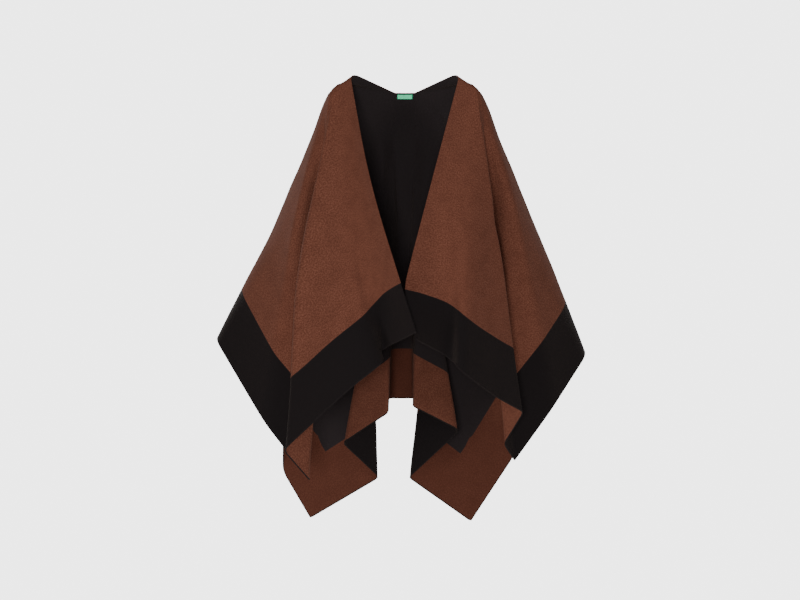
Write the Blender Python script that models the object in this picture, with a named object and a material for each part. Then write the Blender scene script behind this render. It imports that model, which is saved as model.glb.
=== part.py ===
"""Open-front cape of double-faced knit, hanging as worn on a wearer's shoulders.

The cape is one rectangle of cloth with a slit from the front hem to the back neck.  Every
fold runs from the shoulder line down to the edge of the cloth, so the shape is worked out
from two short tables: the points of the shoulder line, and one row for each fold with the
place on the cut edge where it ends and the place where that point hangs.
"""
import bpy
import bmesh
import numpy as np

# Driving dimensions, metres.  Front of the cape faces -Y, the wearer's left is +X.
HALF_WIDTH = 0.66        # centre line to the side edge of the cut cloth
FRONT_DROP = 0.80        # end of the slit to the front hem, on the cut cloth
BACK_DROP = 0.74         # end of the slit to the back hem
WALL = 0.002             # thickness of the double-faced knit
GAP = 0.0003             # parting between two stretches of the cloth
LABEL_SIZE = (0.036, 0.011)
LABEL_DROP = 0.0035      # back neck edge to the label's top edge
LABEL_THICK = 0.0008

# How the folds soften.
TOP_SPREAD = 0.28        # extra rounding of every fold at the shoulder line
CREST_ROUND = 0.03       # rounding of the cloth over the top of the shoulder
DROP_ROUND = 0.20        # rounding of a fold's own bend down its length

# How finely the solids are cut.
COLUMN_STEP = 0.050
OVER_ROWS = (0.0, 0.5)                      # rows from the ridge line to the crest
DROP_ROWS = (0.0, 0.04, 0.09, 0.16, 0.25, 0.35, 0.45, 0.55, 0.65, 0.74, 0.83, 0.92, 1.0)
PROBE = 0.002            # step used to feel the slope of the cloth
TOP_PROBE = 0.02         # the same along the shoulder line, in its own numbers
NORMAL_TOP = 0.01        # above this share of a fold its direction no longer changes
ARM_TOP = 1.9            # just short of the shoulder line's last point
LABEL_COLUMNS = 7
LABEL_SEARCH = 41        # places tried to find each point of the label on the cloth
SHARP_ANGLE = 0.9        # radians, faces that meet more steeply are shaded with an edge

# Three lines over the wearer's left shoulder: its ridge, and where the cloth starts to fall
# in front of it and behind it.  Each row gives the place on the cut cloth and where it hangs.
# The number on the left is the `top` that a fold row names.
#   top    u      v        x       y       z
RIDGE_LINE = (
    (-1.0, 0.000, 0.000,   0.000,  0.088, -0.027),   # middle of the back neck
    (0.0,  0.022, 0.000,   0.0235, 0.085, -0.027),   # end of the slit
    (0.8,  0.054, 0.124,   0.140,  0.027, -0.013),
    (1.0,  0.062, 0.150,   0.159,  0.014, -0.021),   # point of the shoulder
    (1.3,  0.069, 0.157,   0.168,  0.013, -0.027),
    (2.0,  0.080, 0.163,   0.178,  0.016, -0.037),   # top of the arm
)
FRONT_CREST = (
    (0.0,  0.000, 0.135,   0.129,  0.000,  0.012),   # slit edge over the shoulder
    (0.5,  0.032, 0.162,   0.150, -0.011, -0.006),
    (0.8,  0.050, 0.178,   0.164, -0.019, -0.018),
    (1.0,  0.064, 0.185,   0.172, -0.018, -0.027),
    (1.3,  0.078, 0.185,   0.179, -0.007, -0.038),
    (2.0,  0.110, 0.176,   0.193,  0.023, -0.064),
)
BACK_CREST = (
    (-1.0, 0.000, -0.120,  0.000,  0.146, -0.130),   # between the shoulder blades
    (0.0,  0.024, -0.120,  0.026,  0.143, -0.130),
    (1.0,  0.064, 0.120,   0.169,  0.046, -0.028),
    (2.0,  0.110, 0.176,   0.193,  0.023, -0.064),
)

# One row for each fold, from the slit round the front hem, the side edge and the back hem.
# edge and at: which cut edge the fold ends on, and its distance from the centre line (hems)
# or from the slit's end (side, + to the front).  round: half length of the rounded bend.
# soft: how high the fold reaches; 7 is deep almost to the shoulder, 0.8 only near the hem.
# top: where it starts on the shoulder line.  bend: how far along it is pushed aside.
#    name             edge        at       x       y       z  round  soft    top  bend   side    out
RIGHT_FOLDS = (
    ("slit_corner",   "front",  0.000,  0.024, -0.205, -0.588, 0.000, 1.50,  0.00, 0.45, -0.020, -0.035),
    ("centre_valley", "front",  0.135, -0.061, -0.115, -0.632, 0.024, 0.80,  0.20, 0.45,  0.000, -0.030),
    ("centre_ridge",  "front",  0.220, -0.040, -0.190, -0.649, 0.020, 0.80,  0.35, 0.45,  0.000, -0.020),
    ("front_middle",  "front",  0.370, -0.144, -0.185, -0.730, 0.080, 1.50,  0.60, 0.45,  0.000, -0.015),
    ("front_ridge",   "front",  0.545, -0.275, -0.110, -0.856, 0.012, 6.00,  0.85, 0.20, -0.020, -0.008),
    ("front_valley",  "front",  0.635, -0.217, -0.070, -0.928, 0.010, 6.00,  1.00, 0.45,  0.000,  0.016),
    ("front_corner",  "side",   0.800, -0.222, -0.048, -0.926, 0.000, 4.00,  1.12, 0.45,  0.000,  0.018),
    ("side_front",    "side",   0.620, -0.322, -0.020, -0.802, 0.030, 7.00,  1.45, 0.35, -0.018, -0.055),
    ("outer_point",   "side",   0.365, -0.455,  0.120, -0.607, 0.030, 1.50,  2.00, 0.50,  0.010,  0.010),
    ("arm_ridge",     "side",   0.130, -0.395,  0.285, -0.572, 0.045, 1.50,  1.75, 0.45,  0.000,  0.010),
    ("arm_valley",    "side",  -0.070, -0.335,  0.165, -0.625, 0.040, 1.50,  1.50, 0.45,  0.000,  0.000),
    ("side_ridge",    "side",  -0.265, -0.335,  0.315, -0.700, 0.045, 1.50,  1.25, 0.45,  0.000,  0.010),
    ("side_valley",   "side",  -0.445, -0.295,  0.195, -0.810, 0.040, 1.50,  1.05, 0.45,  0.000,  0.000),
    ("corner_ridge",  "side",  -0.620, -0.300,  0.250, -0.939, 0.020, 1.50,  0.90, 0.45,  0.022,  0.010),
    ("back_corner",   "side",  -0.740, -0.232,  0.235, -1.052, 0.000, 1.50,  0.75, 0.45,  0.000,  0.010),
    ("back_ridge",    "back",   0.455, -0.062,  0.170, -0.946, 0.012, 1.50,  0.27, 0.45,  0.000,  0.000),
    ("back_valley",   "back",   0.325, -0.147,  0.100, -0.857, 0.012, 1.50,  0.10, 0.45,  0.000,  0.000),
    ("inner_ridge",   "back",   0.170, -0.037,  0.055, -0.780, 0.012, 1.50,  0.00, 0.45,  0.000,  0.000),
    ("centre_fold",   "back",   0.035, -0.038,  0.185, -0.755, 0.012, 1.50, -0.20, 0.45,  0.000,  0.000),
)
LEFT_FOLDS = (
    ("slit_corner",   "front",  0.000,  0.026, -0.190, -0.605, 0.000, 1.50,  0.00, 0.88, -0.052,  0.000),
    ("centre_valley", "front",  0.120,  0.101, -0.125, -0.647, 0.020, 1.50,  0.20, 0.45,  0.000, -0.020),
    ("centre_ridge",  "front",  0.215,  0.121, -0.195, -0.672, 0.020, 1.50,  0.35, 0.45,  0.000, -0.010),
    ("front_middle",  "front",  0.350,  0.195, -0.120, -0.730, 0.060, 1.50,  0.60, 0.45,  0.000, -0.010),
    ("front_ridge",   "front",  0.480,  0.273, -0.035, -0.775, 0.012, 7.00,  0.85, 0.35,  0.000, -0.018),
    ("front_valley",  "front",  0.585,  0.229,  0.000, -0.851, 0.012, 7.00,  1.00, 0.35, -0.010,  0.016),
    ("front_corner",  "side",   0.800,  0.257,  0.040, -0.893, 0.000, 4.00,  1.12, 0.35, -0.006,  0.018),
    ("side_front",    "side",   0.620,  0.350,  0.065, -0.769, 0.030, 7.00,  1.45, 0.35,  0.012, -0.055),
    ("outer_point",   "side",   0.440,  0.444,  0.180, -0.645, 0.035, 1.50,  2.00, 0.50,  0.012,  0.010),
    ("arm_ridge",     "side",   0.200,  0.385,  0.325, -0.580, 0.045, 1.50,  1.75, 0.45,  0.000,  0.010),
    ("arm_valley",    "side",  -0.005,  0.325,  0.190, -0.620, 0.040, 1.50,  1.50, 0.45,  0.000,  0.000),
    ("side_ridge",    "side",  -0.205,  0.325,  0.325, -0.685, 0.045, 1.50,  1.25, 0.45,  0.000,  0.010),
    ("side_valley",   "side",  -0.385,  0.275,  0.205, -0.790, 0.040, 1.50,  1.05, 0.45,  0.000,  0.000),
    ("corner_ridge",  "side",  -0.560,  0.272,  0.265, -0.898, 0.020, 1.50,  0.90, 0.45, -0.022,  0.010),
    ("back_corner",   "side",  -0.740,  0.162,  0.235, -1.060, 0.000, 1.50,  0.75, 0.45,  0.000,  0.010),
    ("back_ridge",    "back",   0.465,  0.010,  0.165, -0.946, 0.012, 1.50,  0.27, 0.45,  0.000,  0.000),
    ("back_valley",   "back",   0.300,  0.130,  0.105, -0.827, 0.012, 1.50,  0.10, 0.45,  0.000,  0.000),
    ("inner_ridge",   "back",   0.170,  0.018,  0.060, -0.767, 0.012, 1.50,  0.00, 0.45,  0.000,  0.000),
    ("centre_fold",   "back",   0.035,  0.022,  0.185, -0.755, 0.012, 1.50, -0.20, 0.45,  0.000,  0.000),
)
BACK_CENTRE = ("back_centre", "back", 0.0, -0.008, 0.190, -0.756, 0.020, 1.5, -1.0, 0.45, 0.0, 0.0)

HALF_EDGE = HALF_WIDTH + FRONT_DROP + BACK_DROP + HALF_WIDTH   # slit corner to back centre

BROWN = (0.118, 0.042, 0.026)
GREEN = (0.05, 0.60, 0.33)
KNIT_ROUGH = 0.95
LABEL_ROUGH = 0.55


def edge_place(edge, at):
    """Distance along the cut edge from the slit's corner, and the cut-cloth place (u, v)."""
    if edge == "front":
        return at, (at, FRONT_DROP)
    if edge == "side":
        return HALF_WIDTH + FRONT_DROP - at, (HALF_WIDTH, at)
    return HALF_EDGE - at, (at, -BACK_DROP)


def soft_ramp(x, radius):
    """Zero before the corner, x after it, and a parabola over the rounded stretch."""
    radius = np.maximum(radius, 1e-6)
    bend = (x + radius) ** 2 / (4.0 * radius)
    return np.where(np.abs(x) < radius, bend, np.maximum(x, 0.0))


def soft_line(knots, values, radii, s):
    """A polyline through values at knots, its corners rounded by radii, read at s."""
    slopes = np.diff(values, axis=0) / np.diff(knots)[:, None]
    turns = np.diff(slopes, axis=0)
    ramps = soft_ramp(s - knots[1:-1], radii)
    return values[0] + slopes[0] * (s - knots[0]) + ramps @ turns


def fold_rows():
    """Both tables as one run, from the right slit corner round the back to the left one."""
    rows = []
    for fold in RIGHT_FOLDS + (BACK_CENTRE,):
        s, (u, v) = edge_place(*fold[1:3])
        rows.append((s, -u, v, *fold[3:]))
    for fold in reversed(LEFT_FOLDS):
        s, (u, v) = edge_place(*fold[1:3])
        rows.append((2.0 * HALF_EDGE - s, u, v, *fold[3:]))
    return np.array(rows)


ROWS = fold_rows()
KNOT = ROWS[:, 0]
HANG = ROWS[:, 3:6]
ROUND = ROWS[:, 6]
SOFT = ROWS[:, 7]
TOP = ROWS[:, 8]
BEND = ROWS[:, 9:12]


def fold_knots(name):
    """Places round the edge of the fold of this name, on the right half and on the left."""
    right = [fold[0] for fold in RIGHT_FOLDS].index(name)
    left = [fold[0] for fold in LEFT_FOLDS].index(name)
    return KNOT[right], KNOT[-1 - left]


RIGHT_OUTER, LEFT_OUTER = fold_knots("outer_point")
RIGHT_RIDGE, LEFT_RIDGE = fold_knots("inner_ridge")
RIGHT_CORNER = HALF_EDGE - HALF_WIDTH
LEFT_CORNER = HALF_EDGE + HALF_WIDTH
# Perimeter corners of the cut, where the flat place turns without rounding.
CORNERS = np.array([0.0, HALF_WIDTH, RIGHT_CORNER, LEFT_CORNER,
                    2.0 * HALF_EDGE - HALF_WIDTH, 2.0 * HALF_EDGE])
CORNER_CUTS = np.array([(0.0, FRONT_DROP), (-HALF_WIDTH, FRONT_DROP), (-HALF_WIDTH, -BACK_DROP),
                        (HALF_WIDTH, -BACK_DROP), (HALF_WIDTH, FRONT_DROP), (0.0, FRONT_DROP)])


def side_sign(s):
    """-1 on the wearer's right half, +1 on the left half."""
    return -1.0 if s < HALF_EDGE else 1.0


def mirrored(values, sign):
    """A five-number place (u, v, x, y, z) of the left half, moved to the half asked for."""
    return np.array(values) * np.array((sign, 1.0, sign, 1.0, 1.0))


def on_line(line, top, sign):
    """Place on one of the shoulder lines: straight between the rows of its table."""
    table = np.array(line)
    place = [np.interp(top, table[:, 0], table[:, column]) for column in range(1, 6)]
    return mirrored(place, sign)


def in_front(s):
    return s < RIGHT_OUTER or s > LEFT_OUTER


def fold_path(s, t):
    """The fold at s: its points from ridge line to cut edge, and their places down the cloth."""
    sign = side_sign(s)
    top = np.interp(s, KNOT, TOP)
    spread = TOP_SPREAD * (1.0 - t) ** SOFT[1:-1]
    room = np.minimum(KNOT, 2.0 * HALF_EDGE - KNOT)[1:-1]
    radii = np.minimum(ROUND[1:-1] + spread, room)
    hang = soft_line(KNOT, np.hstack((HANG, BEND)), radii, s)
    cut = [np.interp(s, CORNERS, CORNER_CUTS[:, column]) for column in range(2)]
    start = on_line(RIDGE_LINE, top, sign)
    crest = on_line(FRONT_CREST if in_front(s) else BACK_CREST, top, sign)
    end = np.concatenate((cut, hang[:3]))
    bend_at, side, out = hang[3:]
    middle = crest + bend_at * (end - crest)
    middle[2:4] += (side, out)
    first = np.linalg.norm(crest[:2] - start[:2])
    rest = np.linalg.norm(end[:2] - crest[:2])
    knots = np.array((0.0, first, first + bend_at * rest, first + rest))
    return np.array((start, crest, middle, end)), knots


def cloth_place(s, t):
    """The cloth's middle surface: (u, v, x, y, z) at s round the edge, t down the fold."""
    points, knots = fold_path(s, t)
    steps = np.diff(knots)
    rounding = np.array((min(CREST_ROUND, steps[0]), min(DROP_ROUND * sum(steps[1:]), *steps[1:])))
    return soft_line(knots, points, rounding, t * knots[-1])


def crest_share(s):
    """How far down the fold the crest lies."""
    knots = fold_path(s, 0.0)[1]
    return knots[1] / knots[-1]


def cloth_point(s, t):
    return cloth_place(s, t)[2:]


def unit(vector):
    return vector / np.linalg.norm(vector)


def cloth_normal(s, t):
    """Outward direction of the cloth, shared by the stretches that meet at a parting line."""
    top = np.interp(s, KNOT, TOP)
    if t == 0.0 and top >= 0.0:
        return ridge_directions(top, side_sign(s))[0]
    down = min(max(t, NORMAL_TOP), 1.0 - PROBE)
    ahead = min(s + PROBE, 2.0 * HALF_EDGE)
    behind = max(s - PROBE, 0.0)
    along = cloth_point(ahead, down) - cloth_point(behind, down)
    fall = cloth_point(s, down + PROBE) - cloth_point(s, down - PROBE)
    return unit(np.cross(along, fall))


def ridge_directions(top, sign):
    """Outward direction on the ridge line, and the way across it to the front."""
    top = min(top, ARM_TOP)
    place = on_line(RIDGE_LINE, top, sign)[2:]
    front = unit(on_line(FRONT_CREST, top, sign)[2:] - place)
    back = unit(on_line(BACK_CREST, top, sign)[2:] - place)
    ahead = on_line(RIDGE_LINE, top + TOP_PROBE, sign)[2:]
    behind = on_line(RIDGE_LINE, top - TOP_PROBE, sign)[2:]
    across = unit(front - back)
    normal = unit(np.cross(ahead - behind, across))
    return (normal if normal[2] > 0.0 else -normal), across


def ridge_corners():
    """Places round the edge whose folds start at a corner of the ridge line."""
    places = []
    for value in (row[0] for row in RIDGE_LINE):
        for number in range(len(KNOT) - 1):
            low, high = sorted(TOP[number:number + 2])
            if low < value < high:
                share = (value - TOP[number]) / (TOP[number + 1] - TOP[number])
                places.append(KNOT[number] + share * (KNOT[number + 1] - KNOT[number]))
    return places


def columns(start, end):
    """Places round the edge: folds, both ends of each bend, ridge corners and even steps."""
    marks = {start, end}
    marks.update(place for place in ridge_corners() if start < place < end)
    for knot, radius in zip(KNOT, ROUND):
        marks.update(mark for mark in (knot - radius, knot, knot + radius) if start < mark < end)
    marks = sorted(marks)
    places = [marks[0]]
    for left, right in zip(marks, marks[1:]):
        steps = max(1, round((right - left) / COLUMN_STEP))
        places.extend(left + (right - left) * (step + 1) / steps for step in range(steps))
    return places


def shell_object(name, grid, normals, thick, colour, roughness):
    """Closed wall: the grid of middle points moved half the thickness out and in."""
    mesh = bpy.data.meshes.new(name)
    work = bmesh.new()
    rows = len(grid)
    wide = len(grid[0])
    outer = []
    inner = []
    for points, directions in zip(grid, normals):
        outer.append([work.verts.new(p + n * thick / 2) for p, n in zip(points, directions)])
        inner.append([work.verts.new(p - n * thick / 2) for p, n in zip(points, directions)])
    for row in range(rows - 1):
        for col in range(wide - 1):
            a, b = outer[row][col], outer[row][col + 1]
            c, d = outer[row + 1][col + 1], outer[row + 1][col]
            work.faces.new((a, d, c, b))
            a, b = inner[row][col], inner[row][col + 1]
            c, d = inner[row + 1][col + 1], inner[row + 1][col]
            work.faces.new((a, b, c, d))
    rim = [(0, col) for col in range(wide)] + [(row, wide - 1) for row in range(1, rows)]
    rim += [(rows - 1, col) for col in range(wide - 2, -1, -1)]
    rim += [(row, 0) for row in range(rows - 2, 0, -1)]
    for (r0, c0), (r1, c1) in zip(rim, rim[1:] + rim[:1]):
        work.faces.new((outer[r0][c0], outer[r1][c1], inner[r1][c1], inner[r0][c0]))
    bmesh.ops.recalc_face_normals(work, faces=work.faces)
    bmesh.ops.triangulate(work, faces=work.faces)
    work.to_mesh(mesh)
    work.free()
    mesh.shade_smooth()
    mesh.set_sharp_from_angle(angle=SHARP_ANGLE)
    mesh.materials.append(finish(name, colour, roughness))
    piece = bpy.data.objects.new(name, mesh)
    bpy.context.scene.collection.objects.link(piece)
    return piece


def finish(name, colour, roughness):
    material = bpy.data.materials.new(name)
    material.use_nodes = True
    surface = material.node_tree.nodes["Principled BSDF"]
    surface.inputs["Base Color"].default_value = (*colour, 1.0)
    surface.inputs["Roughness"].default_value = roughness
    surface.inputs["Metallic"].default_value = 0.0
    return material


def drawn_in(grid, places, side):
    """Pull a stretch back by half the parting along the lines where it meets another."""
    pulled = [[point.copy() for point in row] for row in grid]
    for points, moved in zip(grid, pulled):
        if places[0] > 0.0:
            moved[0] += unit(points[1] - points[0]) * GAP / 2
        if places[-1] < 2.0 * HALF_EDGE:
            moved[-1] += unit(points[-2] - points[-1]) * GAP / 2
    for col, s in enumerate(places):
        top = np.interp(s, KNOT, TOP)
        if top >= 0.0:
            across = ridge_directions(top, side_sign(s))[1]
            pulled[0][col] = grid[0][col] + side * across * GAP / 2
    return pulled


def stretch(name, start, end, side):
    """One stretch of the cloth between two places round its edge; side is +1 in front."""
    places = columns(start, end)
    grid = []
    normals = []
    for s in places:
        crest = crest_share(s)
        drops = [crest * row for row in OVER_ROWS]
        drops += [crest + (1.0 - crest) * row for row in DROP_ROWS]
        grid.append([cloth_point(s, t) for t in drops])
        normals.append([cloth_normal(s, t) for t in drops])
    grid = list(zip(*grid))
    normals = list(zip(*normals))
    return shell_object(name, drawn_in(grid, places, side), normals, WALL, BROWN, KNIT_ROUGH)


def label():
    """Bare woven label on the inside of the back neck, made from the cloth's own points."""
    wide, tall = LABEL_SIZE
    lift = WALL / 2 + GAP + LABEL_THICK / 2
    reach = wide
    middle = cloth_point(HALF_EDGE, 0.0)
    grid = []
    normals = []
    for drop in (LABEL_DROP, LABEL_DROP + tall / 2, LABEL_DROP + tall):
        t = drop / BACK_DROP
        row = []
        directions = []
        for share in np.linspace(-1.0, 1.0, LABEL_COLUMNS):
            target = middle[0] + share * wide / 2
            span = np.linspace(HALF_EDGE - reach, HALF_EDGE + reach, LABEL_SEARCH)
            across = [cloth_point(s, t)[0] for s in span]
            s = np.interp(target, across, span)
            normal = cloth_normal(s, t)
            row.append(cloth_point(s, t) - normal * lift)
            directions.append(normal)
        grid.append(row)
        normals.append(directions)
    return shell_object("neck_label", grid, normals, LABEL_THICK, GREEN, LABEL_ROUGH)


def main():
    for piece in list(bpy.data.objects):
        bpy.data.objects.remove(piece, do_unlink=True)
    stretch("front_right", 0.0, RIGHT_OUTER, 1.0)
    stretch("front_left", LEFT_OUTER, 2.0 * HALF_EDGE, 1.0)
    stretch("back_right", RIGHT_OUTER, RIGHT_CORNER, -1.0)
    stretch("back_pleat_right", RIGHT_CORNER, RIGHT_RIDGE, -1.0)
    stretch("back_middle", RIGHT_RIDGE, LEFT_RIDGE, -1.0)
    stretch("back_pleat_left", LEFT_RIDGE, LEFT_CORNER, -1.0)
    stretch("back_left", LEFT_CORNER, LEFT_OUTER, -1.0)
    label()


main()
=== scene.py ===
# %% [markdown]
# # An open-front knit cape, hanging as worn
#
# The real thing is one rectangle of double-faced knit.  The outside is brushed brown, the inside
# is smooth black, and a band along its four outer edges swaps the two colours.  A slit runs from
# the front hem to the back neck, and the whole shape comes from the way the cloth hangs.
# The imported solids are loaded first.  They fix the size, and what is made below stands at most a
# few millimetres past their box.

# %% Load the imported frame
import math
import bpy
import numpy as np
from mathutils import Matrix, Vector, noise


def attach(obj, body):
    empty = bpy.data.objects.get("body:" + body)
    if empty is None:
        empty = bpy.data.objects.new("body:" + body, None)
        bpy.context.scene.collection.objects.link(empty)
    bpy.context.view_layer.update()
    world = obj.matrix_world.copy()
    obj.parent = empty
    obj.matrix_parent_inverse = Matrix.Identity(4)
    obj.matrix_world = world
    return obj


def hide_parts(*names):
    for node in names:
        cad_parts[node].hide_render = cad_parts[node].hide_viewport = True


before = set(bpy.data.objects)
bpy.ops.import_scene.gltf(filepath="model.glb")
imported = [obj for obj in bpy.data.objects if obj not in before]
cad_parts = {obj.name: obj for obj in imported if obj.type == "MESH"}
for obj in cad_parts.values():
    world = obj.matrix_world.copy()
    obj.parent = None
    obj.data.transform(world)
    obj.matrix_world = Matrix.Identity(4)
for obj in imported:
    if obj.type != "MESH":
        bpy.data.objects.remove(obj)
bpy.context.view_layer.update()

# %% [markdown]
# ## Camera
#
# The photograph looks straight at the front, level with the middle of the cape.  A long lens from
# four metres away keeps the near and far edges of the cloth at almost the same scale.

# %% Camera
CAMERA_PLACE = (-0.0116, -4.0, -0.517)
CAMERA_LENS = 77.6       # millimetres, for the sensor width below
SENSOR_WIDTH = 36.0


def add_camera():
    camera = bpy.data.objects.new("photo_camera", bpy.data.cameras.new("photo_camera"))
    camera.data.lens = CAMERA_LENS
    camera.data.sensor_width = SENSOR_WIDTH
    camera.location = CAMERA_PLACE
    camera.rotation_euler = (math.radians(90.0), 0.0, 0.0)
    bpy.context.scene.collection.objects.link(camera)
    bpy.context.scene.camera = camera
    return camera


print("camera", add_camera().name)

# %% [markdown]
# ## Studio
#
# The photograph has an even pale grey behind the cape and soft light from both sides.  A grey
# world gives that even background and fills the folds.  A soft panel in front and one at each side
# bring out the ridges, and two more behind light the back.  The camera doesn't see the panels.
# A pale round floor lies below the picture's edge.

# %% Studio light and floor
FILL_LEVEL = 0.24
BACKDROP_LEVEL = 3.85
FLOOR_RADIUS = 1.5
FLOOR_TOP = -1.5
FLOOR_SIDES = 96
FLOOR_GREY = (0.78, 0.78, 0.78)
FLOOR_ROUGH = 0.9
PANELS = (
    # name, place, aim, width and height in metres, power in watts
    ("front_panel", (-0.3, -4.3, -0.70), (0.0, 0.0, -0.55), (0.9, 0.9), 128.0),
    ("left_panel", (-3.0, -2.6, -0.3), (0.0, 0.0, -0.5), (1.3, 1.6), 62.0),
    ("right_panel", (3.0, -2.6, -0.3), (0.0, 0.0, -0.5), (1.3, 1.6), 44.0),
    ("back_left_panel", (-2.8, 3.4, 0.2), (0.0, 0.0, -0.5), (1.6, 1.6), 110.0),
    ("back_right_panel", (2.4, 3.7, 0.2), (0.0, 0.0, -0.5), (1.6, 1.6), 70.0),
)


def plain_material(name, colour, roughness):
    material = bpy.data.materials.new(name)
    material.use_nodes = True
    shader = material.node_tree.nodes["Principled BSDF"]
    shader.inputs["Base Color"].default_value = (*colour, 1.0)
    shader.inputs["Roughness"].default_value = roughness
    return material


def add_world():
    """Soft white light from all round, seen by the camera as a brighter paper backdrop."""
    world = bpy.data.worlds.new("studio")
    world.use_nodes = True
    tree = world.node_tree
    background = tree.nodes["Background"]
    background.inputs["Color"].default_value = (1.0, 1.0, 1.0, 1.0)
    path = tree.nodes.new("ShaderNodeLightPath")
    strength = tree.nodes.new("ShaderNodeMapRange")
    strength.inputs["To Min"].default_value = FILL_LEVEL
    strength.inputs["To Max"].default_value = BACKDROP_LEVEL
    tree.links.new(path.outputs["Is Camera Ray"], strength.inputs["Value"])
    tree.links.new(strength.outputs["Result"], background.inputs["Strength"])
    bpy.context.scene.world = world


def add_panel_light(name, place, aim, size, power):
    light = bpy.data.lights.new(name, "AREA")
    light.shape = "RECTANGLE"
    light.size, light.size_y = size
    light.energy = power
    lamp = bpy.data.objects.new(name, light)
    lamp.visible_camera = False
    lamp.location = place
    lamp.rotation_euler = (Vector(aim) - Vector(place)).to_track_quat("-Z", "Y").to_euler()
    bpy.context.scene.collection.objects.link(lamp)


def add_floor():
    bpy.ops.object.select_all(action="DESELECT")
    bpy.ops.mesh.primitive_circle_add(
        vertices=FLOOR_SIDES, radius=FLOOR_RADIUS, fill_type="NGON", location=(0.0, 0.0, FLOOR_TOP))
    floor = bpy.context.object
    floor.name = "studio_floor"
    bpy.ops.object.transform_apply(location=True)
    floor.data.materials.append(plain_material("floor_paint", FLOOR_GREY, FLOOR_ROUGH))


add_world()
for panel in PANELS:
    add_panel_light(*panel)
add_floor()

# %% [markdown]
# ## The cut and the folds
#
# Every fold runs from the shoulder line down to the cut edge.  So the shape is written as short
# tables: three lines over the shoulder, and one row for each fold with the place on the cut edge
# where it ends and the place where that point hangs.  The solids use the same tables.  Two values
# are changed after them: the folds by the slit are rounder here, and the cloth behind each outer
# ridge hangs further back.

# %% Tables of the cut and of the hang
HALF_WIDTH = 0.66
FRONT_DROP = 0.80
BACK_DROP = 0.74
BAND = 0.12              # width of the contrast band
WALL = 0.002             # thickness of the knit
HALF_EDGE = HALF_WIDTH + FRONT_DROP + BACK_DROP + HALF_WIDTH
TOP_SPREAD = 0.28        # metres by which a fold is rounder at the shoulder than at the hem
CREST_ROUND = 0.03       # rounding in metres where the cloth turns down over the shoulder
DROP_ROUND = 0.20        # rounding of the bend further down, as a share of the drop
OUTER_TOP = 2.0          # top of the outer fold, where the front meets the back

# u and v are places on the flat cut, measured from the slit's end, and x, y, z is where they hang.
#   top    u      v        x       y       z
RIDGE_LINE = (
    (-1.0, 0.000, 0.000,   0.000,  0.088, -0.027),
    (0.0,  0.022, 0.000,   0.0235, 0.085, -0.027),
    (0.8,  0.054, 0.124,   0.140,  0.027, -0.013),
    (1.0,  0.062, 0.150,   0.159,  0.014, -0.021),
    (1.3,  0.069, 0.157,   0.168,  0.013, -0.027),
    (2.0,  0.080, 0.163,   0.178,  0.016, -0.037),
)
FRONT_CREST = (
    (0.0,  0.000, 0.135,   0.129,  0.000,  0.012),
    (0.5,  0.032, 0.162,   0.150, -0.011, -0.006),
    (0.8,  0.050, 0.178,   0.164, -0.019, -0.018),
    (1.0,  0.064, 0.185,   0.172, -0.018, -0.027),
    (1.3,  0.078, 0.185,   0.179, -0.007, -0.038),
    (2.0,  0.110, 0.176,   0.193,  0.023, -0.064),
)
BACK_CREST = (
    (-1.0, 0.000, -0.120,  0.000,  0.146, -0.130),
    (0.0,  0.024, -0.120,  0.026,  0.143, -0.130),
    (1.0,  0.064, 0.120,   0.169,  0.046, -0.028),
    (2.0,  0.110, 0.176,   0.193,  0.023, -0.064),
)

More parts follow.
